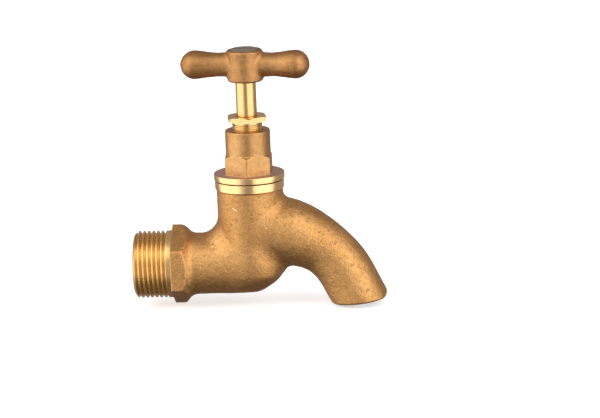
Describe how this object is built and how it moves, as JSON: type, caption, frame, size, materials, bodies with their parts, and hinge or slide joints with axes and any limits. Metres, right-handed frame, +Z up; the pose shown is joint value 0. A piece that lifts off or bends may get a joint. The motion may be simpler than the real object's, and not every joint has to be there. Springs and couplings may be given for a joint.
{
  "type": "bib tap",
  "caption": "Brass bib tap with a threaded inlet, hexagon shoulder, screw-down valve headwork, tee handle and curved plain spout.",
  "frame": {"origin": "centre of the hexagon's shoulder face on the inlet thread's axis", "axes": "+X along the inlet axis towards the spout, +Z up along the spindle"},
  "size_m": [0.0989, 0.0278, 0.1021],
  "materials": {
    "cast_brass": "shot-blasted sand casting",
    "turned_brass": "bright turned",
    "handle_brass": "tumbled casting",
    "fibre": "vulcanised fibre",
    "packing": "greased braided yarn",
    "rubber": "smooth"
  },
  "bodies": {
    "tap_body": {"body": "cast_brass", "bonnet": "cast_brass", "bonnet_gasket": "fibre", "gland_nut": "turned_brass", "gland_ring": "turned_brass", "packing_ring_upper": "packing", "packing_ring_middle": "packing", "packing_ring_lower": "packing", "packing_washer": "turned_brass"},
    "valve": {"jumper": "turned_brass", "tap_washer": "rubber", "washer_plate": "turned_brass", "washer_nut": "turned_brass"},
    "spindle_and_handle": {"spindle": "turned_brass", "jumper_pin": "turned_brass", "tee_handle": "handle_brass", "handle_screw": "turned_brass"}
  },
  "joints": [
    {"name": "valve_lift", "type": "slide", "parent": "tap_body", "child": "valve", "axis": [0, 0, 1], "range_m": [0, 0.0068]},
    {"name": "handle_turn", "type": "hinge", "parent": "valve", "child": "spindle_and_handle", "pos_m": [0.0311, 0, 0.02], "axis": [0, 0, 1], "range_deg": [0, 810]}
  ],
  "couplings": [
    {"joint": "valve_lift", "follows": "handle_turn", "m_per_rad": 0.00047746}
  ]
}
